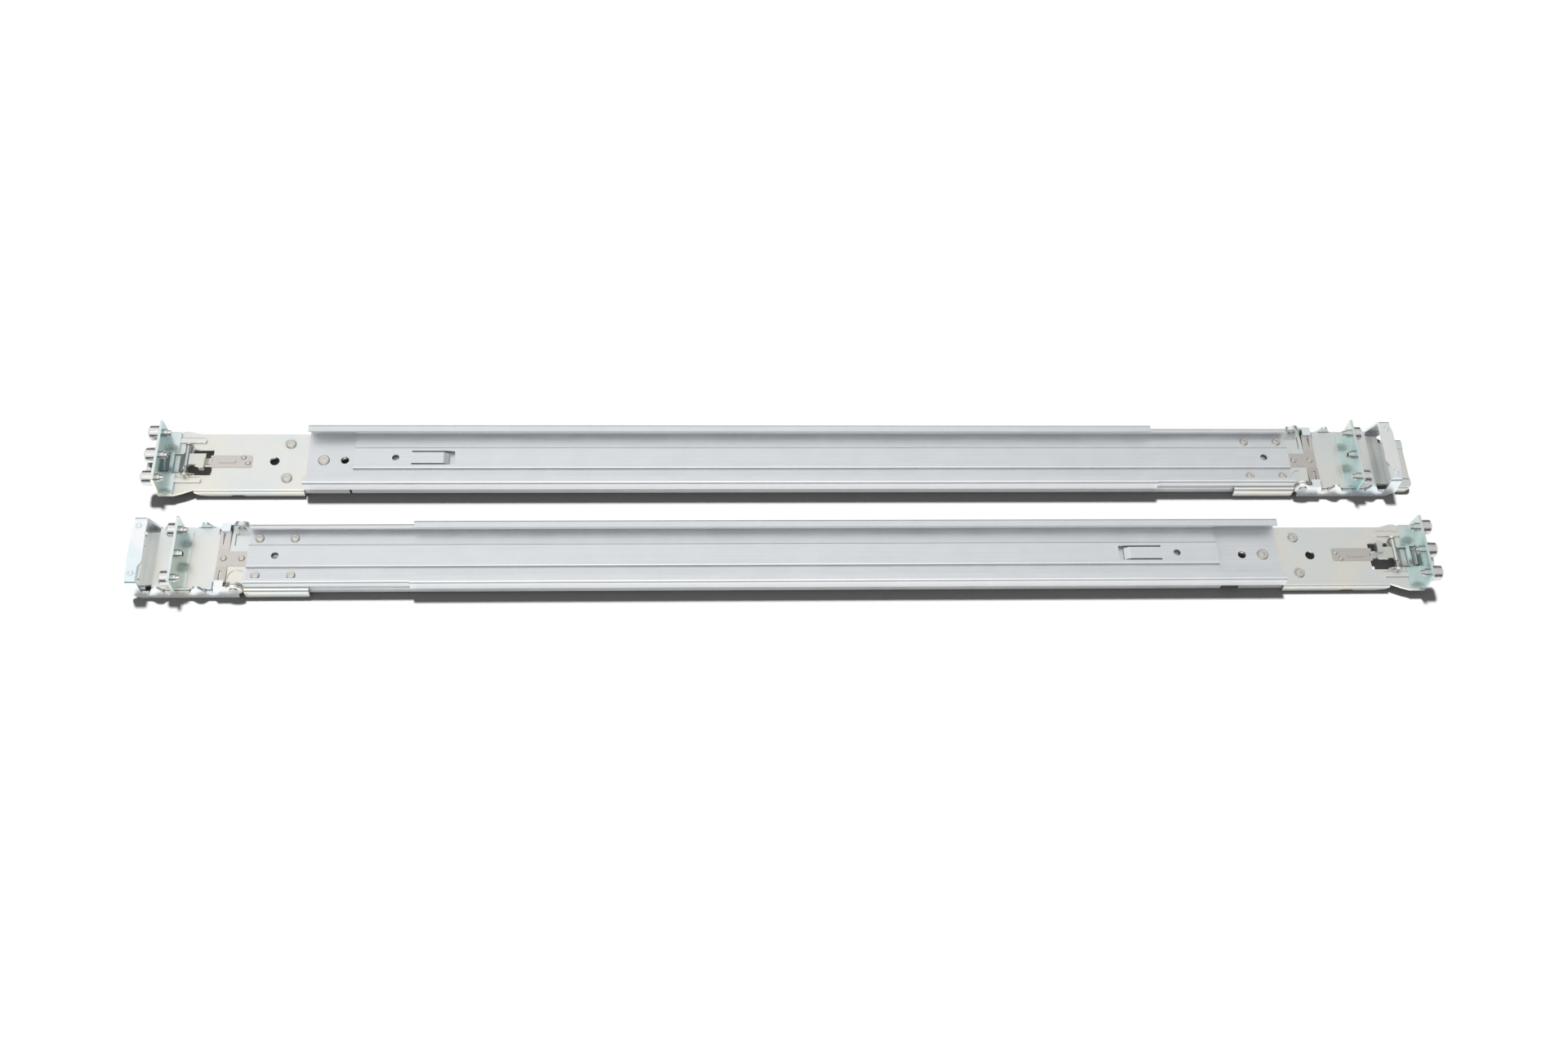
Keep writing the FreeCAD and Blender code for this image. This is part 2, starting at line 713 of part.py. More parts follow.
def side_flange():
    """Folded edge along the lower side of the plate."""
    out = side_flange_out
    path = [(-out + 4.0, front_plate_top), (-out, front_plate_top), (-out, side_flange_bottom)]
    section = folded(path[::-1], bracket_sheet, bend)
    body = along(section, front_plate_rear, side_flange_front)
    shape = [(front_plate_rear, side_flange_bottom, 1.5), (side_flange_front, side_flange_bottom, 1.5),
             (side_flange_front, front_plate_top + 1), (front_plate_rear, front_plate_top + 1)]
    return body.common(upright(shape, -out - 1, 0))


def pivot_ear(side):
    """Ear that carries the lever's pin, folded up from the plate."""
    out = front_plate_half
    low = min(side * (out - bracket_sheet), side * out)
    disc = cross_pin(pivot_u, pivot_z, low, low + bracket_sheet, ear_r)
    foot = block(pivot_u - ear_r, pivot_u + ear_r, low, low + bracket_sheet,
                 slide_top, pivot_z)
    keep = block(pivot_u - ear_r, pivot_u + ear_r, low, low + bracket_sheet,
                 slide_top, pivot_z + ear_r)
    return join(disc, foot).common(keep)


def pivot_recess():
    """Round recess that clears the peened end of the lever's pin."""
    floor = front_plate_top - recess_depth
    disc = post(pivot_u, recess_v, floor, front_plate_top + 1, recess_r)
    edge = -front_plate_half + bracket_sheet
    room = block(pivot_u - recess_r, pivot_u + recess_r, edge, recess_v + recess_r,
                 floor, front_plate_top + 1)
    return disc.common(room)


def front_bracket():
    body = join(front_plate(), front_lip(), side_flange(), pivot_ear(1), pivot_ear(-1))
    inner = front_plate_half - bracket_sheet
    cuts = [cross_pin(pivot_u, pivot_z, start, start + bracket_sheet, lever_pin_r + rivet_clearance)
            for start in (inner, -front_plate_half)]
    cuts += [post(u, v, 0, wide_top, channel_rivet_r + rivet_clearance)
             for u in channel_rivet_us for v in (channel_rivet_v, -channel_rivet_v)]
    cuts += [post(u, leaf_rivet_v, 0, wide_top, leaf_rivet_r + rivet_clearance)
             for u in leaf_rivet_us]
    cuts.append(post(front_locating_u, 0, 0, wide_top, locating_hole_r))
    return body.cut(cuts)


def front_face():
    """Plate that meets the front post, standing on a foot."""
    inner = front_face_u - face_sheet
    plate = along([(front_face_low, front_plate_top), (front_face_high, front_plate_top),
                   (front_face_high, face_top, 0.8), (front_face_low, face_top, 0.8)],
                  inner, front_face_u)
    side = front_plate_half - 0.4
    foot = flat([(inner - front_foot, -side, 1.0), (inner, -side), (inner, side - 1.6),
                 (inner - front_foot, side - 1.6, 1.0)], front_plate_top, front_foot_top)
    holes = [long_pin(v, plug_z, inner - 1, front_face_u + 1, plug_stem_r + rivet_clearance)
             for v in plug_vs]
    holes.append(long_pin(plug_middle_v, plug_z, inner - 1, front_face_u + 1,
                          insert_neck_r + rivet_clearance))
    return join(plate, foot).cut(holes)


def plug(face_u, way, radius, length, v):
    """Locating plug riveted through a face; way is 1 for the front and -1 for the rear."""
    steps = [(length, 0), (length, radius - plug_chamfer), (length - plug_chamfer, radius),
             (0, radius), (0, plug_stem_r), (-face_sheet, plug_stem_r), (-face_sheet, boss_r),
             (-face_sheet - boss_length, boss_r), (-face_sheet - boss_length, stub_r),
             (-face_sheet - boss_length - stub_length, stub_r),
             (-face_sheet - boss_length - stub_length, 0)]
    return turned(steps, (face_u, v, plug_z), (way, 0, 0))


def threaded_insert():
    """Insert between the front plugs for a rack screw."""
    tail = -face_sheet - insert_length
    steps = [(0, insert_thread_r), (0, insert_neck_r), (-face_sheet, insert_neck_r),
             (-face_sheet, insert_r), (tail, insert_r), (tail, insert_neck_r),
             (tail - insert_neck, insert_neck_r), (tail - insert_neck, insert_thread_r)]
    return turned(steps, (front_face_u, plug_middle_v, plug_z), (1, 0, 0))


# ---------------------------------------------------------------- front lever
def lever_arm(side):
    """Side arm with a round pivot end, rounded catch teeth and the rise to the jaw."""
    low = min(side * arm_in, side * arm_out)
    top = bridge_z - bend
    foot = pivot_u - lever_foot
    shelf = tab_z + bracket_sheet
    tab_front = tab_rear + tab_length
    rise = post_rear if side < 0 else gusset_start
    outline = [(foot, arm_bottom, 1.5), (post_front - 4.6, arm_bottom, 3.0),
               (post_front + 0.6, arm_bottom + 5.4, 2.0), (post_front, top),
               (post_rear, top), (rise, arm_top, 0.8)]
    teeth = [far_tooth, near_tooth] if side < 0 else [near_tooth]
    for tooth in teeth:
        outline += [(tooth[3], arm_top, 1.2), (tooth[2], tooth_top, 2.0),
                    (tooth[1], tooth_top, 2.0), (tooth[0], arm_top, 1.2)]
    outline += [(tab_front + 1.0, arm_top, 0.8), (tab_front, shelf), (pivot_u, shelf),
                (pivot_u, pivot_z), (foot, pivot_z)]
    body = upright(outline, low, low + bracket_sheet)
    ear = cross_pin(pivot_u, pivot_z, low, low + bracket_sheet, lever_ear_r)
    return join(body, ear)


def lever_bridge():
    """Bridge between the arms, folded over at both ends."""
    foot = bridge_z - bend
    path = [(-arm_out, foot), (-arm_out, bridge_top), (arm_out, bridge_top), (arm_out, foot)]
    return along(folded(path, bracket_sheet, bend), post_rear, post_front)


def spring_tab(side):
    """Tab folded in from an arm, over the tip of the leaf spring."""
    near = side * arm_in
    far = side * (arm_in - tab_reach)
    return block(tab_rear, tab_rear + tab_length, min(near, far), max(near, far),
                 tab_z, tab_z + bracket_sheet)


def front_lever():
    body = join(lever_arm(1), lever_arm(-1), lever_bridge(), spring_tab(1), spring_tab(-1))
    reach = arm_out + 1
    cuts = [cross_pin(pivot_u, pivot_z, -reach, reach, lever_pin_r + pivot_clearance)]
    cuts += [post(jaw_rivet_u, v, bridge_z - 1, bridge_top + 1, jaw_rivet_r + rivet_clearance)
             for v in jaw_rivet_vs]
    return body.cut(cuts)


def lever_pin(side):
    """Headed pin of the lever, peened flat where it lies along the plate."""
    inner = front_plate_half - bracket_sheet
    outer = arm_out + pin_head_gap
    shank = cross_pin(pivot_u, pivot_z, inner, outer, lever_pin_r)
    head = cross_pin(pivot_u, pivot_z, outer, outer + lever_pin_head, lever_pin_head_r)
    end = cross_pin(pivot_u, pivot_z, inner - lever_pin_head, inner, lever_pin_end_r)
    end = end.common(block(pivot_u - ear_r, pivot_u + ear_r, 0, inner, front_plate_top + 0.05,
                           narrow_top))
    body = join(shank, head, end)
    if side < 0:
        body = body.mirror(FreeCAD.Vector(0, 0, 0), FreeCAD.Vector(0, 1, 0))
    return body


def jaw_plate():
    """Plate riveted across the lever; it closes in front of the post."""
    outline = [(jaw_rear + 1.0, jaw_high, 1.0), (jaw_front - 1.3, jaw_high, 1.0),
               (jaw_front, jaw_shoulder, 4.0), (jaw_front, jaw_step_v, 4.0),
               (jaw_front - 0.8, jaw_low, 0.6), (jaw_rear + jaw_step, jaw_low, 0.6),
               (jaw_rear + jaw_step, jaw_step_v - 1.4, 4.0), (jaw_rear, jaw_step_v + 1.4, 4.0)]
    body = flat(outline, bridge_top, bridge_top + jaw_sheet)
    holes = [post(jaw_rivet_u, v, bridge_z, bridge_top + jaw_sheet + 1,
                  jaw_rivet_r + rivet_clearance) for v in jaw_rivet_vs]
    return body.cut(holes)


def jaw_rivets():
    top = bridge_top + jaw_sheet + jaw_rivet_proud
    return Part.makeCompound([post(jaw_rivet_u, v, bridge_z, top, jaw_rivet_r)
                              for v in jaw_rivet_vs])


# ---------------------------------------------------------------- front leaf spring
def leaf_prong(side):
    """Half of the cross bar, rising to the lever's tab."""
    z0 = front_plate_top
    tip_top = tab_z - leaf_tip_gap
    outline = [(side * (leaf_root - 0.5), z0), (side * leaf_root, z0),
               (side * leaf_tip, tip_top - leaf_sheet), (side * leaf_tip, tip_top),
               (side * leaf_root, z0 + leaf_sheet), (side * (leaf_root - 0.5), z0 + leaf_sheet)]
    body = along(outline, leaf_cross_rear, leaf_cross_front)
    middle = (leaf_cross_rear + leaf_cross_front) / 2 + 0.5
    near = min(side * leaf_slot_start, side * leaf_slot_end)
    far = max(side * leaf_slot_start, side * leaf_slot_end)
    slot = block(middle - leaf_slot / 2, middle + leaf_slot / 2, near, far, z0 - 1, tip_top + 1)
    return body.cut(slot)


def front_leaf():
    z0 = front_plate_top
    bar = flat([(leaf_rear, leaf_bar_low), (leaf_cross_front, leaf_bar_low),
                (leaf_cross_front, leaf_bar_high), (leaf_rear, leaf_bar_high)],
               z0, z0 + leaf_sheet)
    root = block(leaf_cross_rear, leaf_cross_front, -leaf_root + 0.2, leaf_root - 0.2,
                 z0, z0 + leaf_sheet)
    body = join(bar, root, leaf_prong(1), leaf_prong(-1))
    return body.cut([post(u, leaf_rivet_v, 0, wide_top, leaf_rivet_r + rivet_clearance)
                     for u in leaf_rivet_us])


def headed_rivet(u, v, bottom, seat, radius, head_r, head):
    """Rivet from bottom to seat; its low head has a sloping rim."""
    top = seat - bottom + head
    steps = [(0, 0), (0, radius), (seat - bottom, radius), (seat - bottom, head_r),
             (top - head / 2, head_r), (top, head_r - head / 2), (top, 0)]
    return turned(steps, (u, v, bottom), (0, 0, 1))


def front_bracket_rivets():
    return [headed_rivet(u, v, outer_web_z, narrow_web_top, channel_rivet_r,
                         channel_rivet_head_r, channel_rivet_head)
            for u in channel_rivet_us for v in (channel_rivet_v, -channel_rivet_v)]


def front_leaf_rivets():
    return [headed_rivet(u, leaf_rivet_v, outer_web_z, front_plate_top + leaf_sheet, leaf_rivet_r,
                         leaf_rivet_head_r, leaf_rivet_head) for u in leaf_rivet_us]


# ---------------------------------------------------------------- rear bracket
def rear_outline():
    """Outline of the rear plate: straight sides, a bulge above and a waist below."""
    front = wide_rear - rear_flange_gap
    return [(front, rear_plate_high, 0.5), (bulge_start, rear_plate_high, 6.0),
            (bulge_start - bulge_ramp, bulge_top, 3.0),
            (bulge_start - bulge_ramp - bulge_length, bulge_top, 1.2),
            (rear_foot_edge, rear_end_high, 1.0), (rear_face_u, rear_end_high, 0.5),
            (rear_face_u, rear_face_low, 0.5), (waist_end, rear_face_low, 1.0),
            (waist_start - waist_ramp, waist_low, 3.0), (waist_start, rear_plate_low, 1.5),
            (front, rear_plate_low)]


def rear_tongue():
    """Front end of the plate under the wide channel, its edges turned down."""
    half = rear_tongue_half
    path = [(-half, rear_tongue_bottom), (-half, rear_plate_top), (half, rear_plate_top),
            (half, rear_tongue_bottom)]
    return along(folded(path, bracket_sheet, bend), wide_rear - rear_flange_gap, rear_plate_front)


def rear_side_flange():
    """Folded edge along the lower side, notched and rounded off."""
    inner = rear_plate_low
    outer = rear_plate_low - bracket_sheet
    low = rear_flange_bottom
    front = wide_rear - rear_flange_gap
    notch_front = rear_notch_rear + rear_notch_length
    outline = [(rear_flange_rear, rear_plate_top), (rear_flange_rear, rear_plate_z - 1.0, 0.5),
               (rear_flange_rear + rear_flange_slope / 3, low + 1.2, 1.5),
               (rear_flange_rear + rear_flange_slope, low, 3.0), (rear_notch_rear, low, 0.3),
               (rear_notch_rear + rear_notch_ramp, low + rear_notch_depth, 0.3),
               (notch_front - rear_notch_ramp, low + rear_notch_depth, 0.3),
               (notch_front, low, 0.3), (front, low, 1.0), (front, rear_plate_top)]
    body = upright(outline, outer, inner)
    edge = [line for line in body.Edges if abs(line.CenterOfMass.y - outer) < 1e-6
            and abs(line.CenterOfMass.z - rear_plate_top) < 1e-6]
    return body.makeFillet(bracket_sheet * 0.9, edge)


def stiffener():
    """Shallow folded edge along the upper side."""
    high = rear_plate_high
    return block(rear_flange_rear + rear_flange_slope, wide_rear - rear_flange_gap,
                 high - bracket_sheet, high, rear_plate_z - stiffener_depth, rear_plate_z)


def rib(v):
    """Long raised bead beside the latch, from the foot of the face plate forwards."""
    low = v - rib_width / 2
    high = v + rib_width / 2
    top = rear_plate_top + rib_height
    front = rear_foot_edge + rib_length
    section = [(low, rear_plate_top), (high, rear_plate_top), (high, top, rib_round),
               (low, top, rib_round)]
    radius = rib_width / 2 * 0.999
    outline = [(rear_foot_edge, low), (front, low, radius), (front, high, radius),
               (rear_foot_edge, high)]
    return along(section, rear_foot_edge, front).common(flat(outline, rear_plate_top, top))


def hinge_ear(v0):
    """Ear that carries the latch pin."""
    v1 = v0 + hinge_ear_sheet
    disc = cross_pin(hinge_u, hinge_z, v0, v1, hinge_ear_r)
    foot = block(hinge_u - hinge_ear_r, hinge_u + hinge_ear_r, v0, v1, rear_plate_top, hinge_z)
    return join(disc, foot)


def rear_bracket():
    plate = flat(rear_outline(), rear_plate_z, rear_plate_top)
    pieces = [rear_tongue(), rear_side_flange(), stiffener()]
    pieces += [rib(v) for v in rib_vs]
    pieces += [hinge_ear(v) for v in hinge_ear_vs]
    body = join(plate, *pieces)
    above = rear_plate_top + 0.5
    cuts = [block(window_rear, window_front, window_low, window_high, 0, above),
            block(rear_face_u - 1, window_rear + 0.1, nose_slot_low, nose_slot_high, 0, above),
            post(accessory_hole_u, 0, 0, wide_top, accessory_hole_r),
            post(sight_hole_u, 0, 0, wide_top, sight_hole_r),
            cross_pin(hinge_u, hinge_z, -wide_half, wide_half, latch_pin_r + rivet_clearance)]
    cuts += [post(u, v, 0, wide_top, clamp_rivet_r + rivet_clearance) for u, v in clamp_places()]
    cuts += [post(u, v, rear_plate_top - dimple_depth, above, dimple_r)
             for u, v in clamp_places()[:2]]
    return body.cut(cuts)


def rear_strap():
    """Strap that doubles the plate where it joins the wide channel."""
    half = strap_half
    body = flat([(strap_rear, -half, strap_round), (strap_front, -half, strap_round),
                 (strap_front, half, strap_round), (strap_rear, half, strap_round)],
                strap_z, rear_plate_z)
    cuts = [post(u, v, 0, wide_top, clamp_rivet_r + rivet_clearance) for u, v in clamp_places()]
    return body.cut(cuts)


def clamp_places():
    return [(clamp_rivet_u, clamp_rivet_v), (clamp_rivet_u, -clamp_rivet_v), (channel_stud_u, 0)]


def rear_rivets():
    """Two rivets through plate and strap, and one through the wide channel as well."""
    rivets = [headed_rivet(u, v, strap_z, rear_plate_top - dimple_depth, clamp_rivet_r,
                           clamp_rivet_head_r, clamp_rivet_head) for u, v in clamp_places()[:2]]
    u, v = clamp_places()[2]
    rivets.append(headed_rivet(u, v, strap_z, wide_web_top, clamp_rivet_r, stud_head_r,
                               clamp_rivet_head))
    return Part.makeCompound(rivets)


def rear_leaf_rivet_places(turn):
    return [(u, turn * v) for u, v in rear_leaf_rivets]


def rear_face():
    """Plate that meets the rear post, on a foot with a passage for the latch nose."""
    inner = rear_face_u + face_sheet
    tilt = rear_face_taper
    plate = along([(rear_face_low, rear_plate_top), (rear_face_high, rear_plate_top),
                   (rear_face_high, rear_face_shoulder), (rear_face_high - tilt, face_top, 0.6),
                   (rear_face_low + tilt, face_top, 0.8), (rear_face_low, rear_face_shoulder)],
                  rear_face_u, inner)
    edge = rear_foot_edge
    step = edge - rear_foot_recess
    foot = flat([(inner, rear_face_low), (edge, rear_face_low, 0.6),
                 (edge, rear_foot_recess_low), (step, rear_foot_recess_low),
                 (step, rear_foot_recess_high), (edge, rear_foot_recess_high),
                 (edge, rear_face_high, 0.6), (inner, rear_face_high)],
                rear_plate_top, rear_foot_top)
    passage = block(rear_face_u - 1, inner + nose_slot_length, nose_slot_low, nose_slot_high,
                    rear_plate_top - 1, nose_slot_top)
    holes = [long_pin(v, plug_z, rear_face_u - 1, inner + 1, plug_stem_r + rivet_clearance)
             for v in rear_plug_vs]
    return join(plate, foot).cut([passage] + holes)


# ---------------------------------------------------------------- rear latch
def latch_nose():
    """Strip that dips under the foot, rises through the face and ends in a hook."""
    sheet = latch_sheet
    near = hinge_u - 0.9
    outline = [(hinge_u, hinge_z - sheet / 2), (near, hinge_z - sheet / 2),
               (nose_near + 0.6, nose_dip, 0.8), (nose_far, nose_dip, 0.8),
               (nose_far - 2.4, nose_run, 0.8), (hook_rear + 1.2, nose_run, 0.5),
               (hook_rear, nose_run + 0.9, 0.4), (hook_rear + 1.8, hook_top, 0.4),
               (hook_front - 1.6, hook_top, 0.4), (hook_front, nose_run + sheet, 0.6),
               (nose_far - 1.9, nose_run + sheet, 0.6),
               (nose_far + 0.4, nose_dip + sheet, 0.6),
               (nose_near - 0.2, nose_dip + sheet, 0.6),
               (near - 0.6, hinge_z + sheet / 2, 0.6), (hinge_u, hinge_z + sheet / 2)]
    return upright(outline, nose_low, nose_high)


def latch_arm(turn):
    """Front end of the latch: arm, finger block and the tongue under the leaf spring."""
    top = hinge_z + latch_sheet / 2
    bottom = hinge_z - latch_sheet / 2
    tongue_top = rear_plate_top - tongue_gap
    arm_front = hinge_u + arm_reach
    low, high = sorted((turn * arm_low, turn * arm_high))
    arm = block(hinge_u, arm_front, low, high, bottom, top)
    low, high = sorted((turn * block_low, turn * block_high))
    block_rear = arm_front - block_length
    finger = flat([(block_rear, low, 0.6), (arm_front, low, 0.6), (arm_front, high, 0.6),
                   (block_rear, high, 0.6)], block_bottom, block_top)
    leg = block(arm_front - latch_sheet, arm_front, -tongue_half, tongue_half,
                tongue_top - latch_sheet, top)
    tongue = block(arm_front - latch_sheet, window_front - tongue_end_gap,
                   -tongue_half, tongue_half,
                   tongue_top - latch_sheet, tongue_top)
    return [arm, finger, leg, tongue]


def rear_latch(turn):
    barrel = cross_pin(hinge_u, hinge_z, barrel_low, barrel_high, barrel_r)
    body = join(barrel, latch_nose(), *latch_arm(turn))
    return body.cut(cross_pin(hinge_u, hinge_z, -wide_half, wide_half,
                              latch_pin_r + pivot_clearance))


def latch_pin():
    low = min(hinge_ear_vs) - latch_pin_over
    high = max(hinge_ear_vs) + hinge_ear_sheet + latch_pin_over
    return cross_pin(hinge_u, hinge_z, low, high, latch_pin_r)


def torsion_spring():
    """Closely wound return spring beside the barrel, with one leg on the plate."""
    inside = latch_pin_r + pivot_clearance
    outside = inside + coil_wire
    middle = (inside + outside) / 2
    steps = [(0, inside)]
    for i in range(coil_turns):
        start = i * coil_wire
        steps += [(start, middle), (start + coil_wire / 4, outside),
                  (start + coil_wire * 3 / 4, outside)]
    length = coil_turns * coil_wire
    steps += [(length, middle), (length, inside)]
    windings = turned(steps, (hinge_u, coil_start, hinge_z), (0, -1, 0))
    root = FreeCAD.Vector(hinge_u, coil_start - length + coil_wire / 2, hinge_z + middle)
    leg = Part.makeCylinder(coil_wire / 2, coil_leg, root, FreeCAD.Vector(1, 0, -0.33))
    return join(windings, leg)


def rear_leaf(turn):
    z0 = rear_plate_top
    low, high = sorted((turn * rear_leaf_low, turn * rear_leaf_high))
    strip = flat([(rear_leaf_free, low, 0.5), (rear_leaf_end, low, rear_leaf_round),
                  (rear_leaf_end, high, rear_leaf_round), (rear_leaf_free, high, 0.5)],
                 z0, z0 + leaf_sheet)
    bead = slot_cut(rear_leaf_rib[0], rear_leaf_rib[1], -rear_leaf_rib_half, rear_leaf_rib_half,
                    z0 + leaf_sheet, z0 + leaf_sheet + rear_leaf_rib_height)
    cuts = [post(u, v, 0, wide_top, rear_leaf_rivet_r + rivet_clearance)
            for u, v in rear_leaf_rivet_places(turn)]
    cuts.append(post(rear_leaf_hole_u, 0, 0, wide_top, rear_leaf_hole_r))
    return join(strip, bead).cut(cuts)


def rear_leaf_rivet_set(turn):
    return Part.makeCompound([headed_rivet(u, v, rear_plate_z, rear_plate_top + leaf_sheet,
                                           rear_leaf_rivet_r, rear_leaf_rivet_head_r,
                                           leaf_rivet_head)
                              for u, v in rear_leaf_rivet_places(turn)])


# ---------------------------------------------------------------- one rail
def fixed_pieces():
    return {"front_channel": front_channel(), "front_bracket": front_bracket(),
            "front_face": front_face(), "front_insert": threaded_insert(),
            "front_leaf_spring": front_leaf(), "slide_outer_member": outer_member(),
            "front_plugs": Part.makeCompound([plug(front_face_u, 1, front_plug_r,
                                                   front_plug_length, v) for v in plug_vs])}


def lever_pieces():
    return {"front_lever": front_lever(), "jaw_plate": jaw_plate(), "jaw_rivets": jaw_rivets()}


def rear_pieces(turn):
    bracket = rear_bracket()
    bracket = bracket.cut([post(u, v, 0, wide_top, rear_leaf_rivet_r + rivet_clearance)
                           for u, v in rear_leaf_rivet_places(turn)])
    return {"rear_channel": rear_channel(), "rear_bracket": bracket, "rear_strap": rear_strap(),
            "rear_rivets": rear_rivets(), "rear_face": rear_face(),
            "rear_plugs": Part.makeCompound([plug(rear_face_u, -1, rear_plug_r, rear_plug_length, v)
                                             for v in rear_plug_vs]),
            "rear_latch": rear_latch(turn), "rear_latch_pin": latch_pin(),
            "rear_torsion_spring": torsion_spring(), "rear_leaf_spring": rear_leaf(turn),
            "rear_leaf_rivets": rear_leaf_rivet_set(turn)}


def slide_pieces():
    return {"slide_middle_member": middle_member(), "slide_stop_cap": stop_cap(),
            "slide_inner_member": inner_member(),
            "slide_outer_cage": ball_cage(outer_ball_v, outer_ball_z, outer_ball_d, outer_cage_z,
                                          outer_lip_top + running_gap),
            "slide_outer_balls": ball_rows(outer_ball_v, outer_ball_z, outer_ball_d),
            "slide_inner_cage": ball_cage(inner_ball_v, inner_ball_z, inner_ball_d, inner_cage_z,
                                          middle_lip_top + running_gap),
            "slide_inner_balls": ball_rows(inner_ball_v, inner_ball_z, inner_ball_d)}


def moved(shape, shift, mirrored):
    """Piece set out along its rail, and its rail set out beside the other."""
    placed = shape.copy()
    placed.translate(FreeCAD.Vector(shift, 0, 0))
    if mirrored:
        placed = placed.mirror(FreeCAD.Vector(0, 0, 0), FreeCAD.Vector(1, 0, 0))
    side = -rail_spacing / 2 if mirrored else rail_spacing / 2
    placed.translate(FreeCAD.Vector(centre_shift, side + across_shift, 0))
    return placed


def build():
    nodes = {}
    for prefix, mirrored, turn in (("left_", False, 1), ("right_", True, -1)):
        rear_shift = -rear_draw_out if mirrored else 0
        slide_shift = -slide_draw_back if mirrored else 0
        for pieces, shift in ((fixed_pieces(), 0), (lever_pieces(), 0),
                              (rear_pieces(turn), rear_shift), (slide_pieces(), slide_shift)):
            for name, shape in pieces.items():
                nodes[prefix + name] = moved(shape, shift, mirrored)
    shared = {"front_bracket_rivets": front_bracket_rivets(),
              "front_leaf_rivets": front_leaf_rivets(),
              "front_lever_pins": [lever_pin(1), lever_pin(-1)]}
    for name, shapes in shared.items():
        pair = [moved(shape, 0, mirrored) for mirrored in (False, True) for shape in shapes]
        nodes[name] = Part.makeCompound(pair)
    return nodes


os.makedirs("parts", exist_ok=True)
for node, shape in build().items():
    shape.exportStep("parts/" + node + ".step")
    print(node, "solids", len(shape.Solids), "valid", shape.isValid(), "volume", round(shape.Volume, 1))
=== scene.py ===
# %% [markdown]
# A pair of sliding server rails lies on a studio table that is lit white. Each rail is folded
# sheet steel, plated with zinc, and everything that moves or fits comes from the imported model.
# So the first step loads that model and hangs each piece on the body that moves it.

# %% Load the imported rails
import bpy
import bmesh
import json
import math
from mathutils import Matrix, Vector

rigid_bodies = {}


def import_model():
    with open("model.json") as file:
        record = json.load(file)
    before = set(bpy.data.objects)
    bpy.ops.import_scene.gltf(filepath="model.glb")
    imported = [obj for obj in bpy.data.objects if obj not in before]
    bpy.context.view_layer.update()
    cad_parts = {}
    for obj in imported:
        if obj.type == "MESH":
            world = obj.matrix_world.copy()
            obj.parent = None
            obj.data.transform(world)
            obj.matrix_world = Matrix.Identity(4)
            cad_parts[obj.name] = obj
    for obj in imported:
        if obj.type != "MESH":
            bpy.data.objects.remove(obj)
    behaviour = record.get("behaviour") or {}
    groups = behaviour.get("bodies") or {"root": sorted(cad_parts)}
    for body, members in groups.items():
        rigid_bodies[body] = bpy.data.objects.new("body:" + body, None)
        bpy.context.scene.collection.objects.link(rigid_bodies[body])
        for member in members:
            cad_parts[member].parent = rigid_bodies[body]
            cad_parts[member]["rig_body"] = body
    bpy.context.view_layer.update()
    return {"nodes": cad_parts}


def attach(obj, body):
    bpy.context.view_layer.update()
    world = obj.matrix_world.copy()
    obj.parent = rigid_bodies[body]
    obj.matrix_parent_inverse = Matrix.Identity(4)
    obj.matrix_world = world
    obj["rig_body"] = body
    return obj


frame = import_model()
nodes = frame["nodes"]
print("pieces in the frame:", len(nodes))

# %% [markdown]
# All finishes here are metals, so they share three small helpers. One turns a paint-shop
# hex colour into the linear values that the renderer works in. One adds a shader node with
# its settings and links. One starts a metal: a shader, an output and the coordinates of the
# piece, which stay with it when it moves. Sizes are in metres throughout, and MM turns
# millimetres into them.

# %% Colour and shader helpers
MM = 0.001


def linear(hex_colour):
    """Linear colour with full alpha for an sRGB hex value."""
    channels = []
    for i in (1, 3, 5):
        value = int(hex_colour[i:i + 2], 16) / 255
        if value <= 0.04045:
            channels.append(value / 12.92)
        else:
            channels.append(((value + 0.055) / 1.055) ** 2.4)
    return (*channels, 1.0)


def add(tree, kind, settings=None, **inputs):
    """One shader node; inputs go by their names, or by i and their number."""
    node = tree.nodes.new(kind)
    for name, value in (settings or {}).items():
        setattr(node, name, value)
    for name, value in inputs.items():
        number = name[1:]
        socket = node.inputs[int(number) if number.isdigit() else name.replace("_", " ")]
        if isinstance(value, bpy.types.NodeSocket):
            tree.links.new(value, socket)
        else:
            socket.default_value = value
    return node


def start_metal(name, metallic):
    """An empty material with a metal shader and object coordinates."""
    material = bpy.data.materials.new(name)
    material.use_nodes = True
    tree = material.node_tree
    tree.nodes.clear()
    shader = add(tree, "ShaderNodeBsdfPrincipled", Metallic=metallic)
    add(tree, "ShaderNodeOutputMaterial", Surface=shader.outputs["BSDF"])
    place = add(tree, "ShaderNodeTexCoord").outputs["Object"]
    return material, tree, shader, place


print("linear mid grey:", round(linear("#808080")[0], 4))

# %% [markdown]
# The channels and slides are cold-rolled strip with a satin zinc plating. Rolling leaves
# faint streaks along the rail, and the plating adds a soft mottle. Streaks are noise that is
# stretched along X, so a mapping squeezes X hard before the noise. Grain as fine as the real
# one would vanish at this distance, so it is drawn a few times coarser. A satin plating is a
# little milky, which is why the metallic value stays below one.

# %% Satin zinc on rolled strip
STREAK_WIDTH = 0.9 * MM
STREAK_LENGTH = 60 * MM
STREAK_RELIEF = 0.05 * MM
MOTTLE_SIZE = 14 * MM
MOTTLE_SHARE = 0.45
ROLLED_METALLIC = 0.75
TINT_RANGE = (0.35, 0.65)    # noise below it is all dark, above it all light
NOISE_RANGE = (0.3, 0.7)     # noise seldom leaves it
ROLLED_GLOSS = (-0.05, 0.06)    # how far the noise moves the roughness


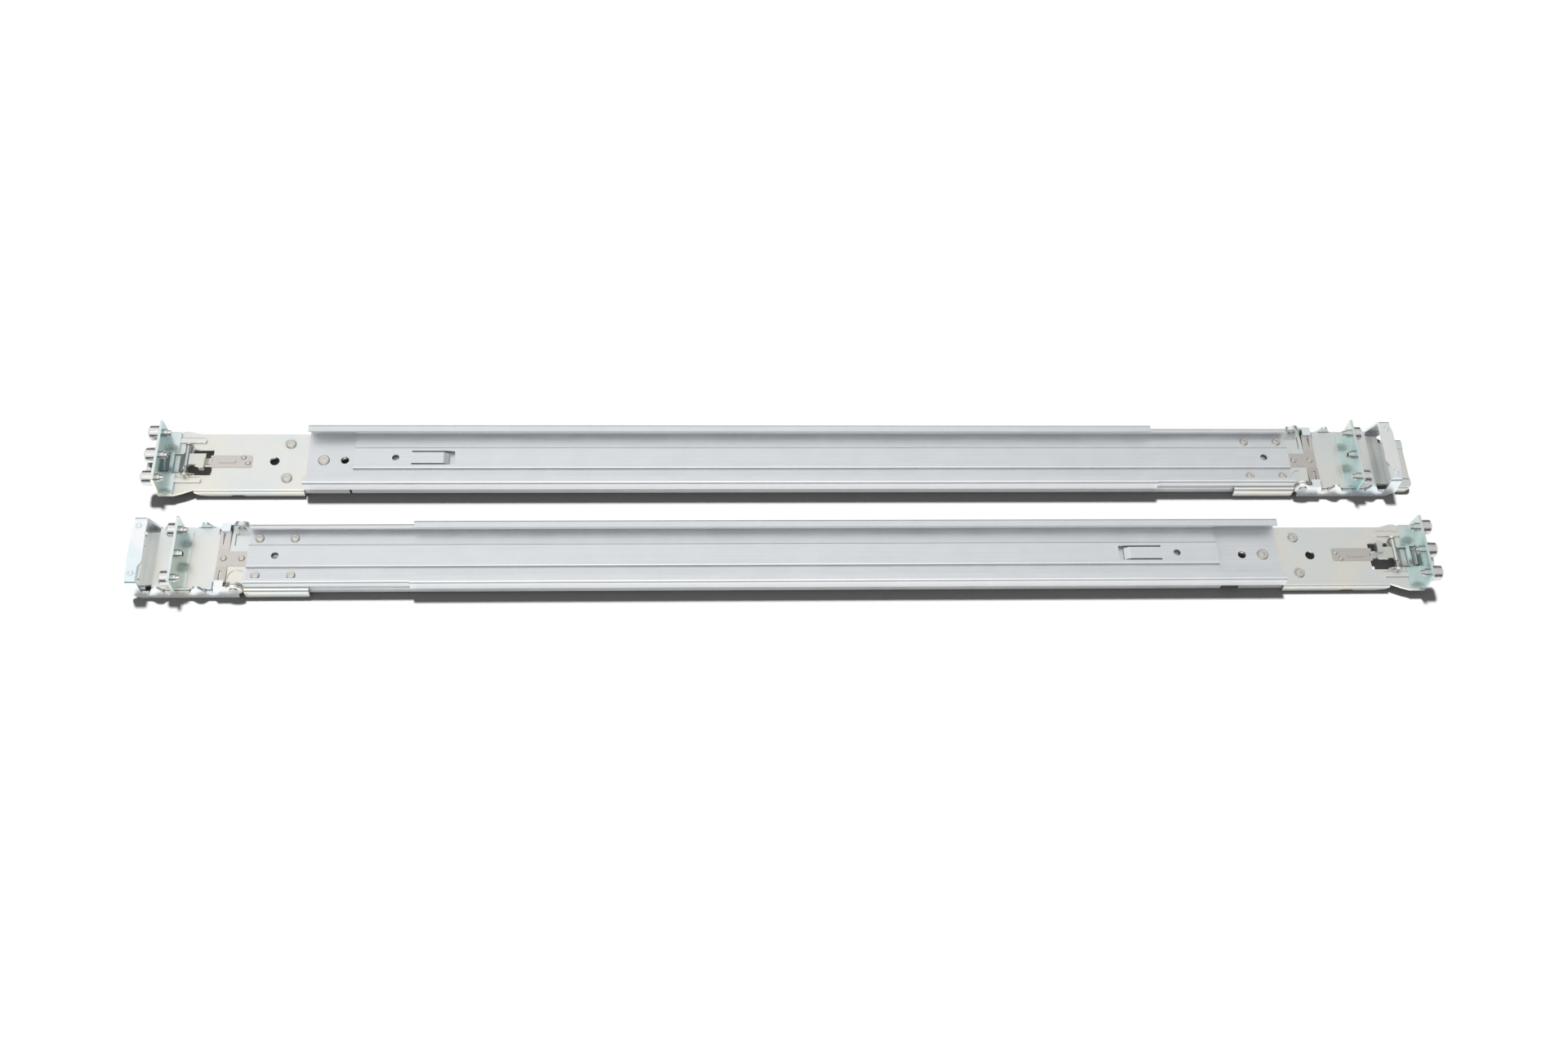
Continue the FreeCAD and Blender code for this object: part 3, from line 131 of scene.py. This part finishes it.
def rolled_zinc(name, light, dark, roughness):
    """Zinc with streaks along X and a soft mottle."""
    material, tree, shader, place = start_metal(name, ROLLED_METALLIC)
    squeeze = (1 / STREAK_LENGTH, 1 / STREAK_WIDTH, 1 / STREAK_WIDTH)
    stretched = add(tree, "ShaderNodeMapping", Vector=place, Scale=squeeze)
    streaks = add(tree, "ShaderNodeTexNoise", Vector=stretched.outputs["Vector"],
                  Scale=1.0, Detail=3.0, Roughness=0.6)
    mottle = add(tree, "ShaderNodeTexNoise", Vector=place, Scale=1 / MOTTLE_SIZE,
                 Detail=4.0, Roughness=0.55)
    blend = add(tree, "ShaderNodeMix", {"data_type": "FLOAT"}, i0=MOTTLE_SHARE,
                i2=streaks.outputs["Fac"], i3=mottle.outputs["Fac"])
    tint = add(tree, "ShaderNodeMapRange", Value=blend.outputs[0],
               From_Min=TINT_RANGE[0], From_Max=TINT_RANGE[1])
    colour = add(tree, "ShaderNodeMix", {"data_type": "RGBA"}, i0=tint.outputs["Result"],
                 i6=linear(dark), i7=linear(light))
    tree.links.new(colour.outputs[2], shader.inputs["Base Color"])
    gloss = add(tree, "ShaderNodeMapRange", Value=blend.outputs[0],
                From_Min=NOISE_RANGE[0], From_Max=NOISE_RANGE[1],
                To_Min=roughness + ROLLED_GLOSS[0], To_Max=roughness + ROLLED_GLOSS[1])
    tree.links.new(gloss.outputs["Result"], shader.inputs["Roughness"])
    relief = add(tree, "ShaderNodeBump", Height=streaks.outputs["Fac"], Strength=0.06,
                 Distance=STREAK_RELIEF)
    tree.links.new(relief.outputs["Normal"], shader.inputs["Normal"])
    return material


# Both give the eye a calm, silky grey with a faint grain along the rail.
channel_finish = rolled_zinc("satin_zinc_rolled_channel", "#E1E3E4", "#D6D9DB", 0.40)
slide_finish = rolled_zinc("satin_zinc_rolled_slide", "#E0E2E3", "#D4D7D9", 0.38)
print("made:", channel_finish.name, "and", slide_finish.name)

# %% [markdown]
# Brackets, levers and post plates are stamped first and then bright-plated. Their zinc has a
# thin clear passivate, which is why it turns from cream to a blue-green in patches, like
# oil on water. A slow noise mixes those casts, a quicker one adds fine scuffs, drawn coarser
# than they are. The foot of a post plate lies flat and mirrors the pale sky, so it looks paler
# than the plate itself. That finish can therefore be given a painted sky reflection: a paler
# colour painted on faces whose normal points up.

# %% Bright zinc with a clear passivate
PATCH_SIZE = 30 * MM
SCUFF_SIZE = 3 * MM
BRIGHT_METALLIC = 0.85
BRIGHT_GLOSS = (-0.02, 0.03)
CAST_RANGE = (0.36, 0.64)    # warm below it, cool above it
# Painted sky reflection: a face that points up is painted paler, standing in for the sky it
# mirrors.
PAINTED_SKY_RANGE = (0.5, 0.9)     # how far up a normal points where a face starts to count as flat
CAST_UNDER_PAINTED_SKY = 0.35            # share of the drifting cast that stays on a flat face


def bright_zinc(name, base, warm, cool, roughness, painted_sky_tint=None):
    """Zinc with a drifting cast; the last argument, if given, is a painted sky reflection: a
    paler colour on faces that point up.
    """
    material, tree, shader, place = start_metal(name, BRIGHT_METALLIC)
    patches = add(tree, "ShaderNodeTexNoise", Vector=place, Scale=1 / PATCH_SIZE,
                  Detail=2.0, Roughness=0.5, Distortion=0.6)
    ramp = add(tree, "ShaderNodeValToRGB", Fac=patches.outputs["Fac"])
    bands = ramp.color_ramp.elements
    bands[0].position, bands[0].color = CAST_RANGE[0], linear(warm)
    bands[1].position, bands[1].color = CAST_RANGE[1], linear(cool)
    middle = bands.new(0.5)
    middle.color = linear(base)
    cast = ramp.outputs["Color"]
    # Painted reflection: faces whose normal points up are painted paler, as if they mirrored the
    # pale sky.
    if painted_sky_tint:
        normal = add(tree, "ShaderNodeNewGeometry").outputs["Normal"]
        upward_part = add(tree, "ShaderNodeSeparateXYZ", Vector=normal).outputs["Z"]
        painted_sky_mask = add(tree, "ShaderNodeMapRange", Value=upward_part,
                       From_Min=PAINTED_SKY_RANGE[0], From_Max=PAINTED_SKY_RANGE[1])
        painted_sky_colour = add(tree, "ShaderNodeMix", {"data_type": "RGBA"}, i0=CAST_UNDER_PAINTED_SKY,
                   i6=linear(painted_sky_tint), i7=cast)
        cast = add(tree, "ShaderNodeMix", {"data_type": "RGBA"},
                   i0=painted_sky_mask.outputs["Result"], i6=cast, i7=painted_sky_colour.outputs[2]).outputs[2]
    tree.links.new(cast, shader.inputs["Base Color"])
    scuffs = add(tree, "ShaderNodeTexNoise", Vector=place, Scale=1 / SCUFF_SIZE,
                 Detail=2.0, Roughness=0.5)
    gloss = add(tree, "ShaderNodeMapRange", Value=scuffs.outputs["Fac"],
                From_Min=NOISE_RANGE[0], From_Max=NOISE_RANGE[1],
                To_Min=roughness + BRIGHT_GLOSS[0], To_Max=roughness + BRIGHT_GLOSS[1])
    tree.links.new(gloss.outputs["Result"], shader.inputs["Roughness"])
    return material


# Broad stampings: nearly white, with a hint of cream.
bracket_finish = bright_zinc("bright_zinc_stamping", "#E4E4DF", "#E8E5DB", "#DFE3E1", 0.34)
# Post plates: the thickest passivate, clearly blue-green and the glossiest; faces that point up
# get a paler painted sky reflection.
face_zinc_and_painted_sky = bright_zinc("blue_passivated_zinc_plate_painted_sky", "#CDDCD8", "#E0E5D6", "#ADC9CB", 0.20,
                          painted_sky_tint="#E3E9E7")
# Levers: cool and bright, with soft reflections.
lever_finish = bright_zinc("bright_zinc_lever", "#EFF2F4", "#F3F3EE", "#E2EDF1", 0.28)
# Latches: a shade darker, because they are handled most.
latch_finish = bright_zinc("bright_zinc_latch", "#CDD0CD", "#DAD8CC", "#BFCBCC", 0.26)
print("made the stamped finishes")

# %% [markdown]
# Small turned and sprung parts: nickel-plated locating plugs, bare spring steel, plain steel
# rivets and polished balls. They are plain metals, told apart by colour and roughness, with
# a little fine noise so that no surface is dead flat. The noise is coarser than a real
# machined grain, which would be too fine to see.

# %% Turned, sprung and riveted steel
GRAIN_SIZE = 1.2 * MM
PLAIN_METALLIC = 1.0
PLAIN_GLOSS = (-0.08, 0.08)


def plain_metal(name, light, dark, roughness):
    """Bare or nickel-plated steel with a fine grain."""
    material, tree, shader, place = start_metal(name, PLAIN_METALLIC)
    grain = add(tree, "ShaderNodeTexNoise", Vector=place, Scale=1 / GRAIN_SIZE, Detail=3.0)
    colour = add(tree, "ShaderNodeMix", {"data_type": "RGBA"}, i0=grain.outputs["Fac"],
                 i6=linear(dark), i7=linear(light))
    tree.links.new(colour.outputs[2], shader.inputs["Base Color"])
    gloss = add(tree, "ShaderNodeMapRange", Value=grain.outputs["Fac"],
                To_Min=roughness + PLAIN_GLOSS[0], To_Max=roughness + PLAIN_GLOSS[1])
    tree.links.new(gloss.outputs["Result"], shader.inputs["Roughness"])
    return material


# Nickel shines warm and clear, spring steel is browner, rivets and pins are dull, balls mirror.
plug_finish = plain_metal("nickel_plated_turned_steel", "#E0E0DC", "#D0D1CE", 0.24)
spring_finish = plain_metal("bare_spring_steel", "#D6D1CC", "#C4BEB8", 0.34)
rivet_finish = plain_metal("plain_rivet_steel", "#DAD7D0", "#C8C4BC", 0.36)
pin_finish = plain_metal("plain_pin_steel", "#C9CBCB", "#B4B6B6", 0.30)
ball_finish = plain_metal("polished_bearing_steel", "#DADCDE", "#CDD0D2", 0.12)
print("made the small-part finishes")

# %% [markdown]
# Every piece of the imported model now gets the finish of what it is. The list reads like a
# parts list: the finish, and the nodes that take it, without the hand in their names. Left
# and right rails are made alike, so one list serves both.

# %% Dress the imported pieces
FINISHES = {
    channel_finish: ("front_channel", "rear_channel"),
    slide_finish: ("slide_outer_member", "slide_middle_member", "slide_inner_member",
                   "slide_outer_cage", "slide_inner_cage"),
    bracket_finish: ("front_bracket", "rear_bracket", "rear_strap", "slide_stop_cap"),
    face_zinc_and_painted_sky: ("front_face", "rear_face"),
    lever_finish: ("front_lever", "jaw_plate", "jaw_rivets"),
    latch_finish: ("rear_latch",),
    plug_finish: ("front_plugs", "rear_plugs", "front_insert"),
    spring_finish: ("front_leaf_spring", "rear_leaf_spring", "rear_torsion_spring"),
    rivet_finish: ("rear_rivets", "rear_leaf_rivets", "front_bracket_rivets",
                   "front_leaf_rivets"),
    pin_finish: ("front_lever_pins", "rear_latch_pin"),
    ball_finish: ("slide_outer_balls", "slide_inner_balls"),
}
dressed = 0
for finish, names in FINISHES.items():
    for name, piece in nodes.items():
        if name.removeprefix("left_").removeprefix("right_") in names:
            piece.data.materials.clear()
            piece.data.materials.append(finish)
            dressed += 1
print("dressed", dressed, "of", len(nodes))

# %% [markdown]
# A rivet is closed by a spinning tool that rolls its head down. The tool leaves a raised rim,
# a groove inside it and a low crown in the middle. The imported rivets are plain discs, so each
# gets that worked face on top. The discs are found in the imported meshes: a copy is merged and
# split into its loose islands, and each island's box gives the centre and the top. The face
# itself is half a section, spun once round the axis. It could be a bump in the material, but
# real geometry also holds up close.

# %% Worked rivet faces
FACE_STEPS = 40
FACE_DEPTH = 1.2 * MM
# Half a section from the rim to the crown: share of the radius, share of the depth.
FACE_SECTION = ((0.90, -0.10), (0.90, 0.02), (0.84, 0.09), (0.76, 0.10), (0.70, 0.06),
                (0.64, 0.01), (0.56, 0.01), (0.50, 0.05), (0.34, 0.10), (0.0, 0.12))
DISC_WELD = 0.001 * MM
FACE_WELD = 0.002 * MM


def islands(piece):
    """Boxes of the separate solids in a piece, as (lowest, highest) corners."""
    solids = bmesh.new()
    solids.from_mesh(piece.data)
    bmesh.ops.remove_doubles(solids, verts=solids.verts, dist=DISC_WELD)
    left = set(solids.verts)
    boxes = []
    while left:
        open_verts = [left.pop()]
        island = []
        while open_verts:
            vert = open_verts.pop()
            island.append(vert.co.copy())
            for edge in vert.link_edges:
                other = edge.other_vert(vert)
                if other in left:
                    left.remove(other)
                    open_verts.append(other)
        boxes.append((Vector(map(min, zip(*island))), Vector(map(max, zip(*island)))))
    solids.free()
    return boxes


def worked_faces(node_name):
    """One piece with a worked face on each rivet of a node."""
    name = node_name.removesuffix("rivets") + "rivet_faces"
    node = nodes[node_name]
    faces = bmesh.new()
    for low, high in islands(node):
        radius = (high.x - low.x) / 2
        centre = Vector(((low.x + high.x) / 2, (low.y + high.y) / 2, high.z))
        ring = [faces.verts.new(centre + Vector((r * radius, 0, h * FACE_DEPTH)))
                for r, h in FACE_SECTION]
        edges = [faces.edges.new(pair) for pair in zip(ring, ring[1:])]
        bmesh.ops.spin(faces, geom=ring + edges, cent=centre, axis=(0, 0, 1),
                       angle=math.tau, steps=FACE_STEPS, use_merge=True)
    bmesh.ops.remove_doubles(faces, verts=faces.verts, dist=FACE_WELD)
    bmesh.ops.holes_fill(faces, edges=[edge for edge in faces.edges if edge.is_boundary])
    bmesh.ops.recalc_face_normals(faces, faces=faces.faces)
    for face in faces.faces:
        face.smooth = len(face.verts) <= 4    # the closed underside stays flat
    mesh = bpy.data.meshes.new(name)
    faces.to_mesh(mesh)
    faces.free()
    piece = bpy.data.objects.new(name, mesh)
    bpy.context.scene.collection.objects.link(piece)
    mesh.materials.append(node.data.materials[0])
    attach(piece, node["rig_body"])
    print("worked:", name)


for node_name in sorted(nodes):
    if node_name.endswith("rivets"):
        worked_faces(node_name)

# %% [markdown]
# The camera stands in front of the table and looks down at about sixty degrees, slightly
# from the left and a little tilted. It is aimed from a target point, so the pose is three
# angles and a distance.

# %% Camera
SENSOR = 36.0
LENS = 39.4
TARGET = Vector((-5.2, -5.4, 0.0)) * MM
DISTANCE = 1051.4 * MM
AZIMUTH = math.radians(-6.43)
ELEVATION = math.radians(60.28)
ROLL = math.radians(5.45)

back = Vector((math.sin(AZIMUTH) * math.cos(ELEVATION),
               -math.cos(AZIMUTH) * math.cos(ELEVATION),
               math.sin(ELEVATION)))
level = Vector((0, 0, 1)).cross(back).normalized()
upward = back.cross(level)
right = math.cos(ROLL) * level + math.sin(ROLL) * upward
up = math.cos(ROLL) * upward - math.sin(ROLL) * level
camera_data = bpy.data.cameras.new("product_camera")
camera_data.lens = LENS
camera_data.sensor_width = SENSOR
camera = bpy.data.objects.new("product_camera", camera_data)
bpy.context.scene.collection.objects.link(camera)
pose = Matrix((right, up, back)).transposed().to_4x4()
pose.translation = TARGET + DISTANCE * back
camera.matrix_world = pose
bpy.context.scene.camera = camera
print("camera at", tuple(round(v, 3) for v in camera.location))

# %% [markdown]
# The table is a single large square. It could be painted white, but a white table also
# throws light into its own shadows and leaves them pale. So its matt paint is grey, and a
# strong lamp of its own, further down, lights it until it looks white. Where that lamp
# doesn't reach, the grey comes through as a dark shadow.

# %% Table
FLOOR_SIZE = 6.0
bed = bmesh.new()
bmesh.ops.create_grid(bed, x_segments=1, y_segments=1, size=FLOOR_SIZE / 2)
floor_mesh = bpy.data.meshes.new("table")
bed.to_mesh(floor_mesh)
bed.free()
floor = bpy.data.objects.new("table", floor_mesh)
bpy.context.scene.collection.objects.link(floor)
table_paint = bpy.data.materials.new("matt_table_paint")
table_paint.use_nodes = True
table_shader = table_paint.node_tree.nodes["Principled BSDF"]
table_shader.inputs["Base Color"].default_value = linear("#6A6A6A")
table_shader.inputs["Roughness"].default_value = 1.0
table_shader.inputs["Specular IOR Level"].default_value = 0.0
floor_mesh.materials.append(table_paint)
print("table laid:", FLOOR_SIZE, "m square")

# %% [markdown]
# Bright zinc mirrors what is around it, so the rails stand in a light tent: a world that is
# nearly white from every side. Faces that look up mirror the sky and come out palest, and
# the channel floors mirror their own walls and come out a step darker, as on real rails. The
# tent grows dimmer towards the right, so the right-hand ends of both rails are a shade
# darker. In a world shader, Generated coordinates are the direction that is looked in, and
# their X runs from -1 on the left to 1 on the right.

# %% Light tent
TENT_LEFT = 1.13
TENT_RIGHT = 0.42
TENT_FADE = (-0.2, 0.9)    # from here to here along X the tent grows dimmer

world = bpy.data.worlds.new("light_tent")
world.use_nodes = True
tent = world.node_tree.nodes["Background"]
tent.inputs["Color"].default_value = linear("#FBFCFD")
facing = add(world.node_tree, "ShaderNodeTexCoord").outputs["Generated"]
sideways = add(world.node_tree, "ShaderNodeSeparateXYZ", Vector=facing).outputs["X"]
fade = add(world.node_tree, "ShaderNodeMapRange", {"interpolation_type": "SMOOTHSTEP"},
           Value=sideways, From_Min=TENT_FADE[0], From_Max=TENT_FADE[1],
           To_Min=TENT_LEFT, To_Max=TENT_RIGHT)
world.node_tree.links.new(fade.outputs["Result"], tent.inputs["Strength"])
bpy.context.scene.world = world
print("tent strength:", TENT_LEFT, "on the left,", TENT_RIGHT, "on the right")

# %% [markdown]
# In a tent that is white all the way down, walls that stand upright would look as pale as
# level faces. So a low band of dark grey felt stands round the table, far out: upright faces
# mirror it and come out darker, as they do in a real studio with a dark room behind the
# lamps. The band is a circle of edges, extruded and lifted. Only reflections see it: it is
# hidden from the camera, throws no shadow and doesn't dim the light on the table.

# %% Dark surround
SURROUND_RADIUS = 1.5
SURROUND_HEIGHT = 0.9
SURROUND_SIDES = 96

band = bmesh.new()
bmesh.ops.create_circle(band, segments=SURROUND_SIDES, radius=SURROUND_RADIUS)
raised = bmesh.ops.extrude_edge_only(band, edges=band.edges[:])["geom"]
bmesh.ops.translate(band, vec=(0, 0, SURROUND_HEIGHT),
                    verts=[item for item in raised if isinstance(item, bmesh.types.BMVert)])
surround_mesh = bpy.data.meshes.new("dark_surround")
band.to_mesh(surround_mesh)
band.free()
surround = bpy.data.objects.new("dark_surround", surround_mesh)
bpy.context.scene.collection.objects.link(surround)
felt = bpy.data.materials.new("dark_grey_felt")
felt.use_nodes = True
felt_shader = felt.node_tree.nodes["Principled BSDF"]
felt_shader.inputs["Base Color"].default_value = linear("#4A4A4A")
felt_shader.inputs["Roughness"].default_value = 1.0
surround_mesh.materials.append(felt)
surround.visible_camera = False
surround.visible_shadow = False
surround.visible_diffuse = False
print("surround:", SURROUND_RADIUS, "m round,", SURROUND_HEIGHT, "m high")

# %% [markdown]
# A tent alone gives hardly any shadow and no sparkle. So three soft lamps help it. One, high
# and behind, lights the table only: it turns the table white and leaves a short crisp shadow
# in front of each rail. The other two light the rails only. One stands above and in front,
# where the rounded bends catch it as thin bright lines, and one shines up from low in front,
# as a table lit from below does, and lifts the walls that face the camera. Light linking
# keeps each lamp to its own collection: a lamp lights what is in it, or all but what it
# excludes. The low lamp shines from under the table, so the table may not shade it either.

# %% Lamps
table_only = bpy.data.collections.new("table_only")
table_only.objects.link(floor)
all_but_table = bpy.data.collections.new("all_but_the_table")
all_but_table.objects.link(floor)
all_but_table.collection_objects[0].light_linking.link_state = "EXCLUDE"


def soft_lamp(name, strength, softness, shines_from, lights, shadows_of=None):
    """A distant lamp that lights one collection; softness is its apparent size in degrees."""
    data = bpy.data.lights.new(name, "SUN")
    data.energy = strength
    data.angle = math.radians(softness)
    lamp = bpy.data.objects.new(name, data)
    lamp.rotation_euler = Vector(shines_from).to_track_quat("Z", "Y").to_euler()
    lamp.light_linking.receiver_collection = lights
    lamp.light_linking.blocker_collection = shadows_of
    bpy.context.scene.collection.objects.link(lamp)
    print("lamp:", name, "strength", strength)


soft_lamp("table_lamp", strength=21.5, softness=7, shines_from=(-0.10, 0.34, 1.0),
          lights=table_only)
soft_lamp("bend_lamp", strength=0.4, softness=24, shines_from=(0, -0.25, 1.0),
          lights=all_but_table)
soft_lamp("low_front_lamp", strength=0.2, softness=40, shines_from=(0, -0.8, -0.8),
          lights=all_but_table, shadows_of=all_but_table)
bpy.context.scene.view_settings.view_transform = "Standard"
